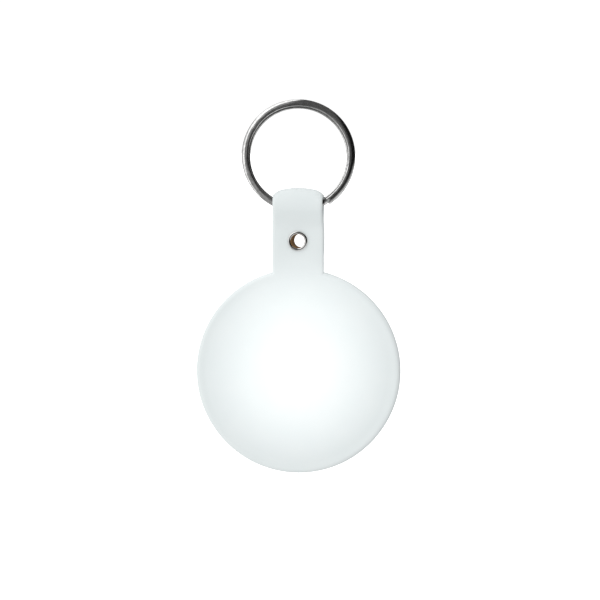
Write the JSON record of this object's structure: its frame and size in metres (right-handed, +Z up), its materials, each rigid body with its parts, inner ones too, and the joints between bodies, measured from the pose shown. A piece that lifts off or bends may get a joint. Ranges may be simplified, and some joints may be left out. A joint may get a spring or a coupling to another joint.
{
  "type": "bluetooth tracker tag",
  "caption": "Round soft key tag with a folded, eyeleted strap on a split ring, holding a press-button radio tracker with a coin cell behind a twist-off back cover.",
  "frame": {"origin": "the top of the split ring's opening, on the ring's mid-plane, where a hook carries it", "axes": "+Z up as the tag hangs, -Y out of the plain front face, +X to the right of that face"},
  "size_m": [0.045, 0.0086, 0.0823],
  "materials": {
    "ring_metal": "nickel plated steel, lightly brushed",
    "soft_vinyl": "soft satin, slightly translucent",
    "eyelet_metal": "nickel plated outside, brass showing in the bore",
    "housing": "fine spark texture",
    "cover": "fine spark texture",
    "button": "fine spark texture",
    "seal_rubber": "smooth",
    "cell_steel": "bright",
    "cell_plastic": "matte",
    "contact_metal": "gold flash",
    "board": "solder mask",
    "screw_steel": "zinc plated",
    "chip_black": "moulded epoxy",
    "crystal_metal": "plated lid",
    "antenna_ceramic": "fired",
    "passive_ceramic": "fired",
    "dome_steel": "bright spring steel",
    "piezo_brass": "rolled",
    "piezo_ceramic": "silvered"
  },
  "bodies": {
    "ring": {"split_ring": "ring_metal"},
    "tag": {"soft_holder": "soft_vinyl", "eyelet": "eyelet_metal", "eyelet_washer": "eyelet_metal", "front_housing": "housing", "rear_housing": "housing", "housing_gasket": "seal_rubber", "cell_can": "cell_steel", "cell_seal": "cell_plastic", "cell_cap": "cell_steel", "positive_contact": "contact_metal", "negative_contact": "contact_metal", "circuit_board": "board", "board_screws": "screw_steel", "radio_chip": "chip_black", "clock_crystal": "crystal_metal", "motion_sensor": "chip_black", "chip_antenna": "antenna_ceramic", "board_passives": "passive_ceramic", "switch_base": "chip_black", "switch_dome": "dome_steel", "piezo_plate": "piezo_brass", "piezo_ceramic": "piezo_ceramic", "piezo_contacts": "contact_metal"},
    "button": {"press_button": "button"},
    "cover": {"battery_cover": "cover", "cover_seal": "seal_rubber"}
  },
  "joints": [
    {"name": "tag_swing", "type": "hinge", "parent": "ring", "child": "tag", "pos_m": [0, 0, -0.02147], "axis": [1, 0, 0], "range_deg": [-168, 156]},
    {"name": "button_press", "type": "slide", "parent": "tag", "child": "button", "axis": [0, 1, 0], "range_m": [0, 0.00022], "stiffness_N_per_m": 3000, "deforming": ["switch_dome"]},
    {"name": "cover_twist", "type": "hinge", "parent": "tag", "child": "cover", "pos_m": [0, 0.0044, -0.05805], "axis": [0, 1, 0], "range_deg": [0, 25]}
  ]
}
